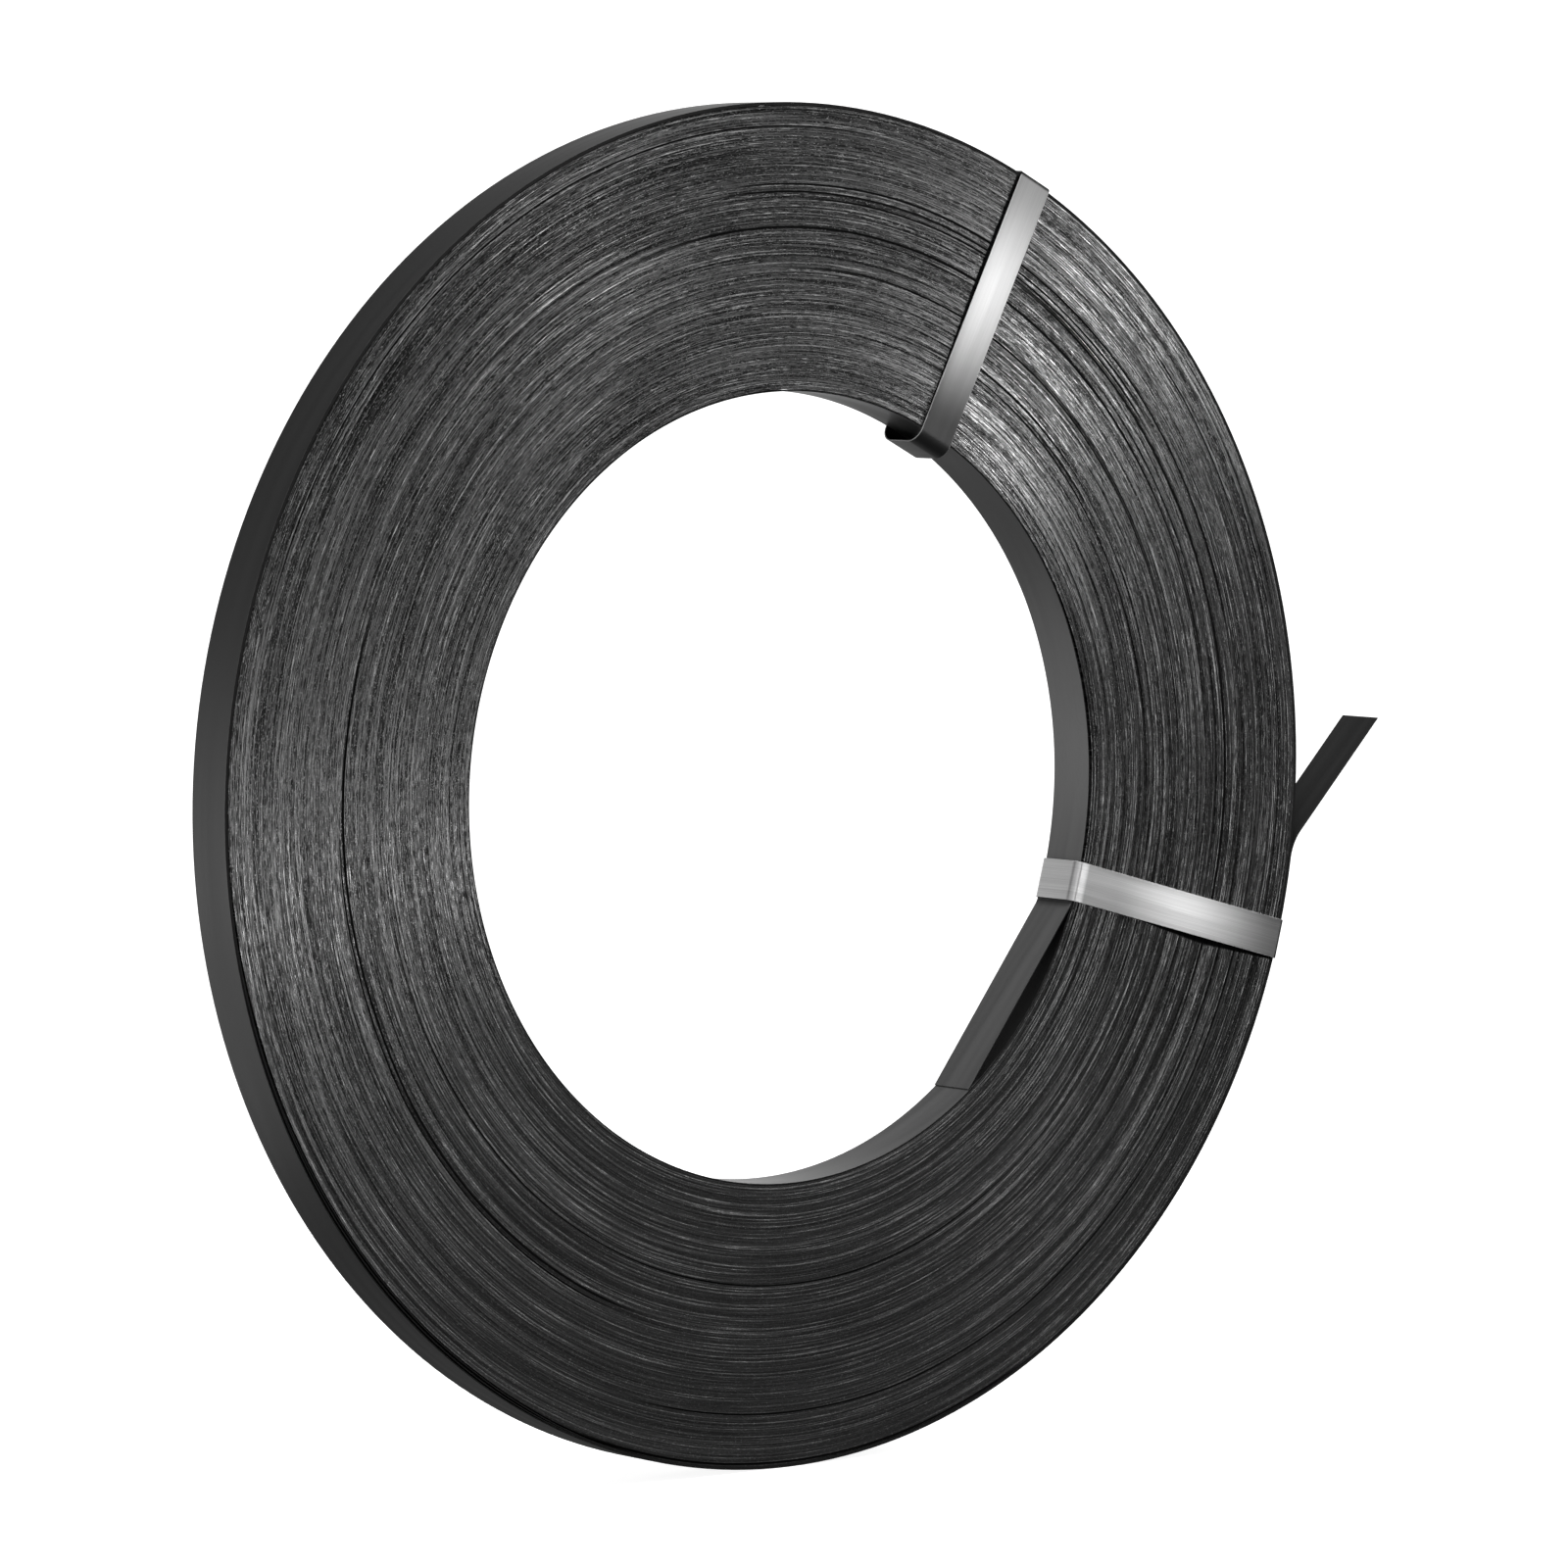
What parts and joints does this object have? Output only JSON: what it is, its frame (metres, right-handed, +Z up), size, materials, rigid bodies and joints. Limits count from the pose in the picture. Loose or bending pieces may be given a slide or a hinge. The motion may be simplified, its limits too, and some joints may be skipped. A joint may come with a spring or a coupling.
{
  "type": "steel strapping coil",
  "caption": "Ribbon-wound coil of black flat steel strapping with an open bore, its free ends standing off, tied round its section with narrower bright steel bands.",
  "frame": {"origin": "on the coil's axis, halfway across the strap's width", "axes": "+Z up, the coil stands on its rim on a floor 318 mm below the origin; -Y along the coil's axis, out of the end that the picture shows; +X to the side where the strap's outer end stands off; seen from -Y the strap winds outwards anticlockwise"},
  "size_m": [0.6896, 0.028, 0.6358],
  "materials": {
    "black_strap": "black painted and waxed cold-rolled steel, satin, with worn metal at the strip's edges",
    "bright_band": "bright steel, brushed along its length"
  },
  "bodies": {
    "root": {"strapping_coil": "black_strap", "upper_tie_band": "bright_band", "lower_tie_band": "bright_band"}
  },
  "joints": []
}
